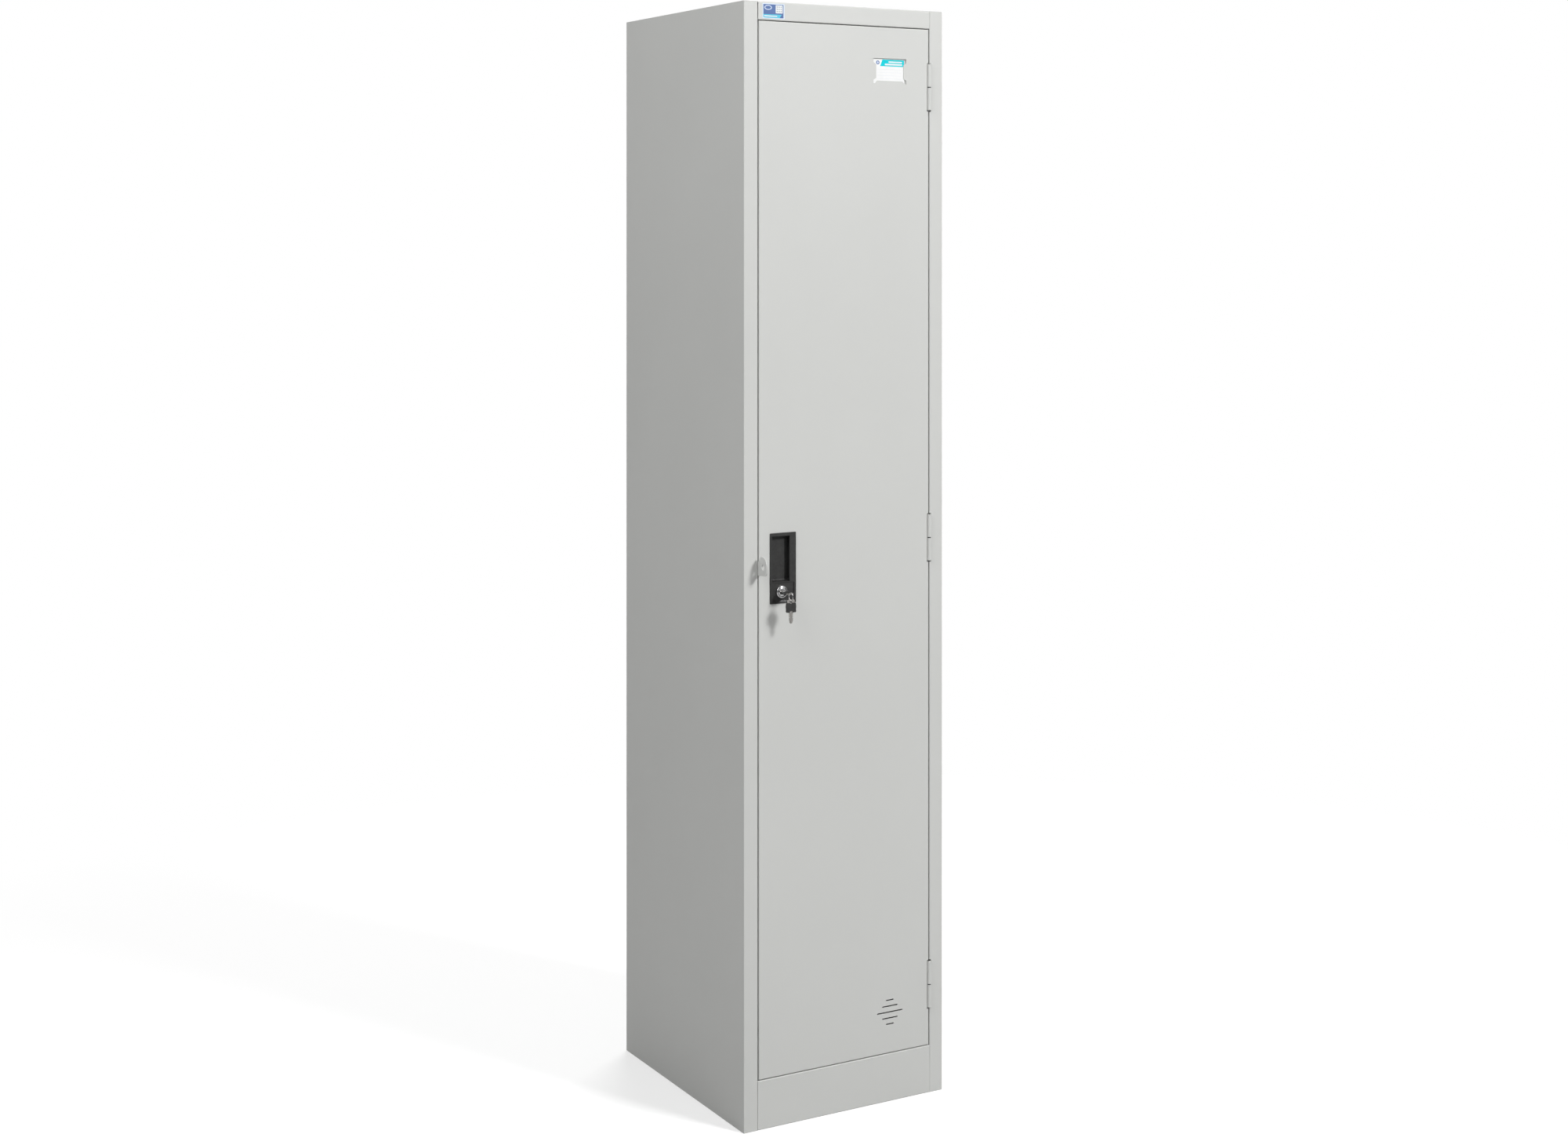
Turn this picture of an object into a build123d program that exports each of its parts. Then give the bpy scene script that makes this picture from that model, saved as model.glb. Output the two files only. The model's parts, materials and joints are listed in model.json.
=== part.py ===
"""School locker: a tall welded sheet-steel cabinet with one hinged door, a keyed cam lock in a recessed
plastic pull, a pair of padlock ears, and a hat shelf, coat rail and shoe shelf inside.

Frame, in millimetres: X to the right seen from the front, Y to the back, Z up. The origin is on the floor at
the middle of the front face plane.
"""

import math
import os

from build123d import *

# Cabinet
WIDTH = 380.0
DEPTH = 450.0
HEIGHT = 1830.0
SHEET = 0.8
BEND = 1.6
SEAM = 0.05
FACE_FLANGE = 25.5
JAMB_DEPTH = 21.0
STOP_LIP = 12.0
BUFFER_RADIUS = 4.0
BUFFER_INSET = 160.0
REAR_FLANGE = 15.0
FOOT_FLANGE = 19.0
HEADER_HEIGHT = 30.0
HEADER_JOINT = 0.8  # open joint between the header's face and the left stile
KICK_HEIGHT = 80.0
KICK_FOOT = 18.0
FOLD = 15.0

# Shelves and coat rail
HAT_SHELF_Z = 1510.0
SHOE_SHELF_Z = 300.0
SHELF_FRONT = 24.0
SHELF_NOSE = 25.0
RAIL_Z = 1440.0
RAIL_Y = 235.0
RAIL_RADIUS = 9.5
RAIL_WALL = 1.0
SOCKET_PLATE = 1.5
SOCKET_WIDTH = 34.0
SOCKET_HEIGHT = 40.0
SOCKET_CORNER = 6.0
SOCKET_CUP = 12.0

# Door
DOOR_GAP = 2.0
SILL_GAP = 1.4
DOOR_DEPTH = 18.0
DOOR_LIP = 12.0
FRONT_RADIUS = 1.2
STIFFENER_X = -10.0
STIFFENER_DEPTH = 14.0
STIFFENER_HALF = 24.0
STIFFENER_FLANGE = 16.0
STIFFENER_FROM = 130.0
STIFFENER_TO = 1750.0

# Hinges: a knuckle on the door sits over a knuckle on the frame, on one pin
HINGE_HEIGHTS = {"top": 1701.0, "middle": 939.5, "bottom": 183.5}
HINGE_PIN_Y = -0.8
KNUCKLE_RADIUS = 3.5
KNUCKLE_LENGTH = 37.6
WASHER = 1.9
WASHER_RADIUS = 2.6
PIN_RADIUS = 2.0
PIN_HEAD_RADIUS = 2.9
PIN_HEAD = 1.0
RUNNING = 0.05
LEAF = 0.95
LEAF_DEPTH = 16.0
NOTCH_SIDE = 3.8
NOTCH_DEPTH = 3.7
NOTCH_HALF = 41.0

# Recessed pull and cam lock
PULL_X = -118.6
PULL_Z = 908.5
PULL_WIDTH = 48.0
PULL_HEIGHT = 115.0
PULL_PROUD = 1.6
PULL_OVERLAP = 1.6
PULL_CORNER = 0.9
PULL_WALL = 1.6
PULL_EDGE = 3.0
HOOK_HALF = 8.0
HOOK_DEPTH = 3.0
RECESS_DEPTH = 8.0
RECESS_LEFT = 3.2
RECESS_RIGHT = 12.0
RECESS_TOP = 5.2
RECESS_SILL = 886.2
SILL_RISE = 2.0
GRIP_UNDERCUT = 7.4
PANEL_LEFT = 5.5
PANEL_RIGHT = 4.0
PANEL_TOP = 885.0
PANEL_SILL = 1.8
PANEL_LEDGE = 3.0
LOCK_X = -121.4
LOCK_Z = 870.0
LOCK_FACE = -0.5
BEZEL_RADIUS = 10.1
BEZEL_FRONT = -4.2
BEZEL_ROUND = 1.6
DISH_RADIUS = 8.5
DISH_DEPTH = 1.0
BARREL_RADIUS = 8.0
BARREL_END = 22.5
THREAD_PITCH = 1.5
THREAD_DEPTH = 0.35
PLUG_RADIUS = 6.0
PLUG_HEAD = 6.8
PLUG_FRONT = -3.9
KEYWAY = 14.5
NUT_RADIUS = 12.7
NUT_THICK = 4.0
BACKPLATE = 1.2
BACKPLATE_LEFT = 32.0
BACKPLATE_RIGHT = 38.0
BACKPLATE_HALF = 13.0
CAM_Y = 23.0
CAM_THICK = 2.0
CAM_REACH = 42.0
TANG = 6.0
CAM_WIDTH = 13.0
CAM_HUB = 8.5
SCREW_RADIUS = 1.75
SCREW_HEAD = 5.0

# Keys and ring
KEY_EYE_Y = -27.5
EYE_RADIUS = 2.4
EYE_END = 4.4
EYE_WIDTH = 12.6
BLANK = 1.7
STEM_WIDTH = 9.0
GRIP_FROM = 1.2
GRIP_TO = 16.7
GRIP_HALF = 9.2
GRIP_WAIST = 0.9
GRIP_THICK = 3.2
GRIP_BAND = 2.6
BAND_PROUD = 0.5
SHOULDER_TO = 17.5
BLADE_TO = 34.8
BLADE_HALF = 3.3
BLADE_GROOVE = 0.35
BITTING_PITCH = 3.3
BITTING_DEPTHS = (0.5, 1.1, 0.4, 1.0)
RING_RADIUS = 6.8
RING_WIRE = 0.7
RING_DROOP = 4.2
RING_PLAY = 0.1

# Padlock ears
EAR_PROUD = 29.5
EAR_ROOT = 12.0
EAR_BOTTOM = 898.0
EAR_RISE = 3.5
EAR_TOP = 930.5
EAR_NECK = 921.5
EAR_SHOULDER = 14.0
EAR_CORNER = 7.0
EAR_THICK = 0.75
EAR_HOLE_Y = -17.5
EAR_HOLE_Z = 914.0
EAR_HOLE_RADIUS = 4.25

# Name-card window, vents and asset label
CARD_X = 86.0
CARD_TOP = 1746.6
CARD_BOTTOM = 1709.2
WINDOW_HALF = 32.0
WINDOW_LIPS_HALF = 26.8
WINDOW_SLOT = 6.8
WINDOW_SLANT = 3.2
WINDOW_NOTCH = 4.4
POCKET_HALF = 38.0
POCKET_DEPTH = 2.6
POCKET_EDGE = 5.0
CARD_THICK = 0.5
VENT_Z = 149.6
VENT_PITCH = 10.0
VENT_LENGTHS = (15.0, 30.0, 50.0, 30.0, 15.0)
VENT_SLOT = 2.0
LABEL_X = -135.6
LABEL_Z = 1815.0
LABEL_WIDTH = 41.0
LABEL_HEIGHT = 25.0
LABEL_THICK = 0.2

# Wall-fixing holes in the back panel
WALL_HOLE_Z = 1745.0
WALL_HOLE_SPACING = 200.0
WALL_HOLE_RADIUS = 3.5

half_width = WIDTH / 2
inner_half = half_width - SHEET - SEAM
jamb_x = half_width - FACE_FLANGE
door_half = jamb_x - DOOR_GAP
header_z = HEIGHT - HEADER_HEIGHT
door_bottom = KICK_HEIGHT + SILL_GAP
door_top = header_z - SILL_GAP
hinge_x = jamb_x - DOOR_GAP / 2
back_y = DEPTH - SHEET - SEAM
ring_y = KEY_EYE_Y - math.sqrt(RING_RADIUS**2 - RING_DROOP**2)
ring_z = LOCK_Z - RING_DROOP
spare_eye_z = ring_z - RING_RADIUS - (EYE_RADIUS - RING_WIRE - RING_PLAY)


def block(x, y, z):
    """A box from three (low, high) pairs."""
    size = Box(x[1] - x[0], y[1] - y[0], z[1] - z[0])
    return Pos((x[0] + x[1]) / 2, (y[0] + y[1]) / 2, (z[0] + z[1]) / 2) * size


def rod(radius, start, end, x, z):
    """A cylinder along Y."""
    return Pos(x, start, z) * Rot(-90, 0, 0) * Cylinder(
        radius, end - start, align=(Align.CENTER, Align.CENTER, Align.MIN)
    )


def upright(radius, low, high, x, y):
    """A cylinder along Z."""
    return Pos(x, y, low) * Cylinder(radius, high - low, align=(Align.CENTER, Align.CENTER, Align.MIN))


def bent_sheet(path, plane, length):
    """Sheet metal folded along a path: the path is one surface, and the sheet lies to its left."""
    line = FilletPolyline(*path, radius=BEND)
    section = make_face(offset(line, SHEET, side=Side.LEFT))
    return extrude(plane * section, length)


def bent_across(path, half):
    """A folded sheet whose section is given in Y and Z and which runs across the cabinet."""
    return bent_sheet(path, Plane.YZ.offset(-half), 2 * half)


def side_folds(z, low, front, rear):
    """The two turned-down side edges of a shelf or tray."""
    return [
        block((x, x + SHEET), (front, rear), (low, z))
        for x in (-inner_half, inner_half - SHEET)
    ]


def side_panel():
    """Left side: rear flange, side, face flange, door jamb and door stop in one folded sheet."""
    path = [
        (REAR_FLANGE - half_width, DEPTH),
        (-half_width, DEPTH),
        (-half_width, 0),
        (-jamb_x, 0),
        (-jamb_x, JAMB_DEPTH),
        (STOP_LIP - jamb_x, JAMB_DEPTH),
    ]
    foot = block(
        (SHEET / 2 - half_width, FOOT_FLANGE - half_width),
        (JAMB_DEPTH + 4, DEPTH - 5),
        (0, SHEET),
    )
    under_roof = block(
        (-jamb_x - BEND - SEAM, STOP_LIP + 1 - jamb_x),
        (SHEET + SEAM, JAMB_DEPTH + BEND),
        (HEIGHT - SHEET - SEAM, HEIGHT),
    )
    return bent_sheet(path, Plane.XY, HEIGHT) + foot - under_roof


def hinge_notches(x_from, x_to):
    return [
        block((x_from, x_to), (-1, NOTCH_DEPTH), (z - NOTCH_HALF, z + NOTCH_HALF))
        for z in HINGE_HEIGHTS.values()
    ]


def right_side_panel():
    return mirror(side_panel(), Plane.YZ) - hinge_notches(jamb_x - 1, hinge_x + NOTCH_SIDE)


def back_panel():
    """Flat sheet welded inside the rear flanges, kept out of their bends."""
    half = inner_half - SHEET
    panel = block((-half, half), (back_y - SHEET, back_y), (SHEET + SEAM, HEIGHT - SHEET - SEAM))
    for side in (-1, 1):
        x = side * WALL_HOLE_SPACING / 2
        panel -= rod(WALL_HOLE_RADIUS, back_y - 5, back_y + 5, x, WALL_HOLE_Z)
    return panel


def stop_corners(z_from, z_to):
    """The space that the side panels' door stops take at the two ends of a header or sill."""
    stop = jamb_x - STOP_LIP - SEAM
    y = (JAMB_DEPTH - 2 * SHEET - SEAM, JAMB_DEPTH + 2 * SHEET)
    return [block(x, y, (z_from, z_to)) for x in ((-half_width, -stop), (stop, half_width))]


def top_panel():
    """Roof, with a turned-down header, door stop and rear edge."""
    rear = back_y - SHEET - SEAM
    path = [
        (rear, HEIGHT - FOLD),
        (rear, HEIGHT),
        (0, HEIGHT),
        (0, header_z),
        (JAMB_DEPTH, header_z),
        (JAMB_DEPTH, header_z - STOP_LIP),
    ]
    middle = bent_across(path, jamb_x - SEAM) - stop_corners(header_z - STOP_LIP - 1, header_z + 2)
    middle -= block((-jamb_x, HEADER_JOINT - jamb_x), (-1, SHEET + 1), (0, HEIGHT - BEND))
    sheet = block((-inner_half, inner_half), (SHEET + SEAM, rear), (HEIGHT - SHEET, HEIGHT))
    front_corners = sheet.edges().filter_by(Axis.Z).group_by(Axis.Y)[0]
    sheet = fillet(front_corners, BEND - SHEET)
    return middle + sheet + side_folds(HEIGHT, HEIGHT - FOLD, JAMB_DEPTH + 4, rear)


def kick_plate():
    """Front of the plinth: door sill and stop at the top, foot at the bottom."""
    path = [
        (JAMB_DEPTH, KICK_HEIGHT + STOP_LIP),
        (JAMB_DEPTH, KICK_HEIGHT),
        (0, KICK_HEIGHT),
        (0, 0),
        (KICK_FOOT, 0),
        (KICK_FOOT, STOP_LIP),
    ]
    return bent_across(path, jamb_x - SEAM) - stop_corners(KICK_HEIGHT - 2, KICK_HEIGHT + STOP_LIP + 1)


def floor_panel():
    """Floor tray, with its front edge turned up behind the door stop."""
    front = JAMB_DEPTH + SHEET + 2 * SEAM
    rear = back_y - 2 * SHEET - SEAM
    path = [
        (front, KICK_HEIGHT + STOP_LIP - 1),
        (front, KICK_HEIGHT - SHEET),
        (rear, KICK_HEIGHT - SHEET),
        (rear, KICK_HEIGHT - FOLD),
    ]
    folds = side_folds(KICK_HEIGHT, KICK_HEIGHT - FOLD, front + 4, rear)
    return bent_across(path, inner_half) + folds


def shelf(z):
    """A fixed shelf with a folded nose, welded to the sides and back by its turned-down edges."""
    rear = back_y - SHEET - SEAM
    path = [
        (rear, z - FOLD),
        (rear, z),
        (SHELF_FRONT, z),
        (SHELF_FRONT, z - SHELF_NOSE),
        (SHELF_FRONT + STOP_LIP, z - SHELF_NOSE),
    ]
    return bent_across(path, inner_half) + side_folds(z, z - FOLD, SHELF_FRONT + 4, rear)


def coat_rail():
    half = inner_half - SOCKET_PLATE - 0.5
    tube = Cylinder(RAIL_RADIUS, 2 * half) - Cylinder(RAIL_RADIUS - RAIL_WALL, 2 * half + 1)
    return Pos(0, RAIL_Y, RAIL_Z) * Rot(0, 90, 0) * tube


def rail_socket(side):
    """Open-topped saddle on a plate that is welded to the side panel."""
    wall = RAIL_RADIUS + 0.2
    plate = extrude(Plane.YZ * RectangleRounded(SOCKET_WIDTH, SOCKET_HEIGHT, SOCKET_CORNER), SOCKET_PLATE)
    cup = Cylinder(wall + SOCKET_PLATE, SOCKET_CUP) - Cylinder(wall, SOCKET_CUP + 1)
    cup -= Pos(-wall, 0, 0) * Box(2 * wall, 2 * wall, SOCKET_CUP + 1)
    cup += [
        Pos(-wall / 2, y, 0) * Box(wall, SOCKET_PLATE, SOCKET_CUP)
        for y in (-wall - SOCKET_PLATE / 2, wall + SOCKET_PLATE / 2)
    ]
    saddle = Pos(SOCKET_PLATE + SOCKET_CUP / 2, 0, 0) * Rot(0, 90, 0) * cup
    socket = Pos(-inner_half, RAIL_Y, RAIL_Z) * (plate + saddle)
    return socket if side < 0 else mirror(socket, Plane.YZ)


def door_buffers():
    """Rubber pads on the latch-side door stop."""
    x = STOP_LIP / 2 - jamb_x + DOOR_GAP / 2
    return Compound(
        children=[
            fillet(pad.faces().sort_by(Axis.Y)[0].edges(), 0.6)
            for pad in (
                rod(BUFFER_RADIUS, DOOR_DEPTH + SEAM, JAMB_DEPTH - SEAM, x, z)
                for z in (door_bottom + BUFFER_INSET, door_top - BUFFER_INSET)
            )
        ]
    )


def hinge_leaf(z_from, z_to, x_from, x_to):
    leaf = block((x_from, x_to), (HINGE_PIN_Y, LEAF_DEPTH), (z_from, z_to))
    leaf += upright(KNUCKLE_RADIUS, z_from, z_to, hinge_x, HINGE_PIN_Y)
    return leaf - upright(PIN_RADIUS + RUNNING, z_from - 1, z_to + 1, hinge_x, HINGE_PIN_Y)


def frame_leaf(z):
    """Lower knuckle: its leaf is welded to the right-hand jamb."""
    low = z - WASHER / 2 - KNUCKLE_LENGTH
    return hinge_leaf(low, low + KNUCKLE_LENGTH, jamb_x - SEAM - LEAF, jamb_x - SEAM)


def door_leaf(z):
    """Upper knuckle: its leaf is welded to the edge of the door."""
    low = z + WASHER / 2 + RUNNING
    return hinge_leaf(low, low + KNUCKLE_LENGTH, door_half + SEAM, door_half + SEAM + LEAF)


def hinge_pin(z):
    top = z + WASHER / 2 + KNUCKLE_LENGTH + 2 * RUNNING
    pin = upright(PIN_RADIUS, z - KNUCKLE_LENGTH, top + 0.2, hinge_x, HINGE_PIN_Y)
    head = upright(PIN_HEAD_RADIUS, top, top + PIN_HEAD, hinge_x, HINGE_PIN_Y)
    return pin + fillet(head.edges().group_by(Axis.Z)[-1], 0.7 * PIN_HEAD)


def hinge_washers():
    def washer(z):
        low = z - WASHER / 2 + RUNNING / 2
        high = z + WASHER / 2 - RUNNING / 2
        ring = upright(WASHER_RADIUS, low, high, hinge_x, HINGE_PIN_Y)
        return ring - upright(PIN_RADIUS + RUNNING, low - 1, high + 1, hinge_x, HINGE_PIN_Y)

    return Compound(children=[washer(z) for z in HINGE_HEIGHTS.values()])


def nearest(face, point):
    """The face's vertex at a point, since the vertices are made anew by each fillet."""
    return face.vertices().sort_by_distance(point)[0]


def padlock_ear(x_from):
    """A tab that stands out of the gap at the latch side, with a high round shoulder."""
    tab = make_face(
        Polyline(
            (EAR_ROOT, EAR_BOTTOM),
            (EAR_ROOT, EAR_NECK),
            (-3, EAR_NECK),
            (-8, EAR_TOP),
            (-EAR_PROUD, EAR_TOP),
            (-EAR_PROUD, EAR_BOTTOM + EAR_RISE),
            close=True,
        )
    )
    lower, upper = tab.vertices().group_by(Axis.X)[0].sort_by(Axis.Y)
    neck = tab.vertices().group_by(Axis.Y)[-1].sort_by(Axis.X)[-1]
    tab = fillet(neck, 5.0)
    tab = fillet(nearest(tab, upper), EAR_SHOULDER)
    tab = fillet(nearest(tab, lower), EAR_CORNER)
    tab -= Pos(EAR_HOLE_Y, EAR_HOLE_Z) * Circle(EAR_HOLE_RADIUS)
    return extrude(Plane.YZ.offset(x_from) * tab, EAR_THICK)


def card_window():
    """Name-card window: a wide slot on top, side and bottom lips, and a notch at each lower corner."""
    right = [
        (WINDOW_HALF, CARD_TOP),
        (WINDOW_HALF, CARD_TOP - WINDOW_SLOT),
        (WINDOW_LIPS_HALF, CARD_TOP - WINDOW_SLOT - WINDOW_SLANT),
        (WINDOW_LIPS_HALF, CARD_BOTTOM + WINDOW_NOTCH),
        (WINDOW_HALF, CARD_BOTTOM + WINDOW_NOTCH - WINDOW_SLANT),
        (WINDOW_HALF, CARD_BOTTOM - WINDOW_NOTCH),
        (WINDOW_HALF - WINDOW_SLANT, CARD_BOTTOM - WINDOW_NOTCH),
        (WINDOW_LIPS_HALF - 2, CARD_BOTTOM),
    ]
    left = [(-x, z) for x, z in reversed(right)]
    outline = make_face(Polyline(*right, *left, close=True))
    outline = fillet(outline.vertices(), 0.8)
    return extrude(Plane.XZ.offset(-5) * Pos(CARD_X, 0) * outline, 10)


def vent_slots():
    slots = []
    for row, length in enumerate(VENT_LENGTHS):
        z = VENT_Z + (2 - row) * VENT_PITCH
        slots.append(extrude(Plane.XZ.offset(-5) * Pos(CARD_X, z) * SlotOverall(length, VENT_SLOT), 10))
    return slots


def door_panel():
    """One folded pan with back lips, pierced for the pull, card, vents and hinges."""
    x = (-door_half, door_half)
    z = (door_bottom, door_top)
    pan = block(x, (0, DOOR_DEPTH), z)
    pan = fillet(pan.faces().sort_by(Axis.Y)[0].edges(), FRONT_RADIUS)
    inside = door_half - SHEET
    pan -= block((-inside, inside), (SHEET, DOOR_DEPTH - SHEET), (z[0] + SHEET, z[1] - SHEET))
    mouth = door_half - DOOR_LIP
    pan -= block((-mouth, mouth), (DOOR_DEPTH - 2, DOOR_DEPTH + 1), (z[0] + DOOR_LIP, z[1] - DOOR_LIP))
    hole = RectangleRounded(PULL_WIDTH - 2 * PULL_OVERLAP, PULL_HEIGHT - 2 * PULL_OVERLAP, 1.5)
    pan -= extrude(Plane.XZ.offset(-1) * Pos(PULL_X, PULL_Z) * hole, 2)
    pan -= card_window()
    pan -= vent_slots()
    return pan - hinge_notches(hinge_x - NOTCH_SIDE, jamb_x)


def door_stiffener():
    """Hat channel welded to the back of the skin."""
    y = SHEET + SEAM
    flange = STIFFENER_HALF + STIFFENER_FLANGE
    left_half = [(-flange, y), (-STIFFENER_HALF, y), (-STIFFENER_HALF, STIFFENER_DEPTH)]
    right_half = [(-x, depth) for x, depth in reversed(left_half)]
    path = [(STIFFENER_X + x, depth) for x, depth in left_half + right_half]
    return bent_sheet(path, Plane.XY.offset(STIFFENER_FROM), STIFFENER_TO - STIFFENER_FROM)


def card_pocket():
    """Backing plate behind the window, hollowed to hold the card, its edges welded to the skin."""
    low = CARD_BOTTOM - 2 * POCKET_EDGE
    high = CARD_TOP + POCKET_EDGE
    inner = POCKET_HALF - POCKET_EDGE
    across = (CARD_X - POCKET_HALF, CARD_X + POCKET_HALF)
    plate = block(across, (SHEET + SEAM, POCKET_DEPTH), (low, high))
    hollow = (low + POCKET_EDGE, high - POCKET_EDGE / 2)
    return plate - block((CARD_X - inner, CARD_X + inner), (0, POCKET_DEPTH - SHEET), hollow)


def name_card():
    """Stiff card behind the lips of the window, a little to the left in its pocket."""
    front = SHEET + 3 * SEAM
    return block(
        (CARD_X - WINDOW_HALF - 0.4, CARD_X + WINDOW_HALF - 3.4),
        (front, front + CARD_THICK),
        (CARD_BOTTOM - WINDOW_NOTCH - 0.2, CARD_TOP - 1.6),
    )


def label_sticker():
    outline = Pos(LABEL_X, LABEL_Z) * RectangleRounded(LABEL_WIDTH, LABEL_HEIGHT, 1.0)
    return extrude(Plane.XZ.offset(0.02) * outline, LABEL_THICK)


def pull_housing():
    """Moulded pull: face plate, finger recess with an undercut grip, and a sunk panel for the lock."""
    left = PULL_X - PULL_WIDTH / 2
    right = PULL_X + PULL_WIDTH / 2
    top = PULL_Z + PULL_HEIGHT / 2
    bottom = PULL_Z - PULL_HEIGHT / 2
    front = -PULL_PROUD - 1
    recess_top = top - RECESS_TOP
    plate = RectangleRounded(PULL_WIDTH, PULL_HEIGHT, PULL_CORNER)
    plate = extrude(Plane.XZ.offset(0.03) * Pos(PULL_X, PULL_Z) * plate, PULL_PROUD - 0.03)
    plate = fillet(plate.faces().sort_by(Axis.Y)[0].edges(), 0.5)
    cup = block(
        (left + RECESS_LEFT - PULL_WALL, right - PULL_EDGE),
        (-1, RECESS_DEPTH + PULL_WALL),
        (RECESS_SILL - PULL_WALL, recess_top + PULL_WALL),
    )
    cup = fillet(cup.faces().sort_by(Axis.Y)[-1].edges(), 2.5)
    lock_wall = block((left + PULL_EDGE, right - PULL_EDGE), (-1, SHEET), (bottom + PULL_EDGE, RECESS_SILL))
    hook = block((PULL_X - HOOK_HALF, PULL_X + HOOK_HALF), (SHEET + 0.1, HOOK_DEPTH), (recess_top, top))
    body = plate + cup + lock_wall + hook

    recess_x = (left + RECESS_LEFT, right - RECESS_RIGHT)
    recess = tapered_pocket(recess_x, (front, RECESS_DEPTH), (RECESS_SILL, recess_top), SILL_RISE)
    recess = fillet(recess.faces().sort_by(Axis.Y)[-1].edges(), 1.5)
    undercut = block(
        (right - RECESS_RIGHT - 2, right - RECESS_RIGHT + GRIP_UNDERCUT),
        (1.2, RECESS_DEPTH),
        (RECESS_SILL + 3.5, recess_top - 2.5),
    )
    undercut = fillet(undercut.faces().sort_by(Axis.X)[-1].edges(), 1.2)
    panel_x = (left + PANEL_LEFT, right - PANEL_RIGHT)
    panel = tapered_pocket(panel_x, (front, LOCK_FACE), (bottom + PANEL_SILL, PANEL_TOP), PANEL_LEDGE)
    body = body - recess - undercut - panel
    return body - rod(BARREL_RADIUS + 0.1, -5, 5, LOCK_X, LOCK_Z)


def tapered_pocket(x, y, z, rise):
    """A pocket that opens to the front, with a sill that rises towards its back."""
    sill = [(y[0], z[0]), (-PULL_PROUD, z[0]), (y[1], z[0] + rise)]
    section = make_face(Polyline(*sill, (y[1], z[1]), (y[0], z[1]), close=True))
    return extrude(Plane.YZ.offset(x[0]) * section, x[1] - x[0])


def lock_backplate():
    """Steel plate behind the skin that the lock nut draws up, holding the pull."""
    rear = SHEET + SEAM
    across = (LOCK_X - BACKPLATE_LEFT, LOCK_X + BACKPLATE_RIGHT)
    plate = block(across, (rear, rear + BACKPLATE), (LOCK_Z - BACKPLATE_HALF, LOCK_Z + BACKPLATE_HALF))
    return plate - rod(BARREL_RADIUS + 0.1, -5, 5, LOCK_X, LOCK_Z)


def lock_housing():
    """Chromed bezel with a dished face, and threaded barrel."""
    bezel = rod(BEZEL_RADIUS, BEZEL_FRONT, LOCK_FACE - 0.02, LOCK_X, LOCK_Z)
    bezel = fillet(bezel.edges().sort_by(Axis.Y)[0], BEZEL_ROUND)
    dish = Cone(PLUG_HEAD, DISH_RADIUS, DISH_DEPTH, align=(Align.CENTER, Align.CENTER, Align.MAX))
    bezel -= Pos(LOCK_X, BEZEL_FRONT, LOCK_Z) * Rot(90, 0, 0) * dish
    barrel = rod(BARREL_RADIUS, LOCK_FACE - 0.1, BARREL_END, LOCK_X, LOCK_Z)
    root = BARREL_RADIUS - THREAD_DEPTH
    first = SHEET + SEAM + BACKPLATE + NUT_THICK + 0.8
    for turn in range(10):
        y = first + THREAD_PITCH * turn
        groove = rod(BARREL_RADIUS + 1, y, y + 0.6, LOCK_X, LOCK_Z)
        barrel -= groove - rod(root, y - 1, y + 2, LOCK_X, LOCK_Z)
    body = bezel + barrel
    body -= rod(PLUG_RADIUS + RUNNING, -10, 30, LOCK_X, LOCK_Z)
    return body - rod(PLUG_HEAD + RUNNING, -10, PLUG_FRONT + 1.8, LOCK_X, LOCK_Z)


def lock_nut():
    y = SHEET + 2 * SEAM + BACKPLATE
    nut = extrude(Plane.XZ.offset(-y) * Pos(LOCK_X, LOCK_Z) * RegularPolygon(NUT_RADIUS, 6), -NUT_THICK)
    return nut - rod(BARREL_RADIUS + RUNNING, 0, 10, LOCK_X, LOCK_Z)


def lock_plug():
    """Turning plug, with the keyway in front and a square tang for the cam behind."""
    end = CAM_Y - 0.2
    half = TANG / 2
    head = rod(PLUG_HEAD, PLUG_FRONT, PLUG_FRONT + 1.7, LOCK_X, LOCK_Z)
    plug = fillet(head.edges().sort_by(Axis.Y)[0], 0.8)
    plug += rod(PLUG_RADIUS, PLUG_FRONT + 1, end, LOCK_X, LOCK_Z)
    tang_y = (end - 1, CAM_Y + CAM_THICK + 0.1)
    plug += block((LOCK_X - half, LOCK_X + half), tang_y, (LOCK_Z - half, LOCK_Z + half))
    slot_x = (LOCK_X - BLADE_HALF - 0.3, LOCK_X + BLADE_HALF + 0.3)
    slot_z = (LOCK_Z - BLANK / 2 - 0.2, LOCK_Z + BLANK / 2 + 0.2)
    plug -= block(slot_x, (PLUG_FRONT - 1, KEYWAY), slot_z)
    return plug - rod(SCREW_RADIUS + RUNNING, 16, 30, LOCK_X, LOCK_Z)


def lock_cam():
    """Flat latch bar, drawn in the open position: upright, clear of the door stop."""
    tip = CAM_REACH - CAM_WIDTH / 2
    bar = Circle(CAM_HUB)
    bar += Pos(0, tip / 2) * Rectangle(CAM_WIDTH, tip)
    bar += Pos(0, tip) * Circle(CAM_WIDTH / 2)
    bar -= Rectangle(TANG + 0.1, TANG + 0.1)
    return extrude(Plane.XZ.offset(-CAM_Y) * Pos(LOCK_X, LOCK_Z) * bar, -CAM_THICK)


def cam_screw():
    """Cross-slotted screw that holds the cam on the plug."""
    head_y = CAM_Y + CAM_THICK + 0.15
    head = rod(SCREW_HEAD, head_y, head_y + 2.2, LOCK_X, LOCK_Z)
    head = fillet(head.edges().sort_by(Axis.Y)[-1], 1.0)
    for long, short in ((4, 0.5), (0.5, 4)):
        slot_y = (head_y + 1.2, head_y + 3)
        head -= block((LOCK_X - long, LOCK_X + long), slot_y, (LOCK_Z - short, LOCK_Z + short))
    return head + rod(SCREW_RADIUS, 17, head_y + 0.5, LOCK_X, LOCK_Z)


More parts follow.
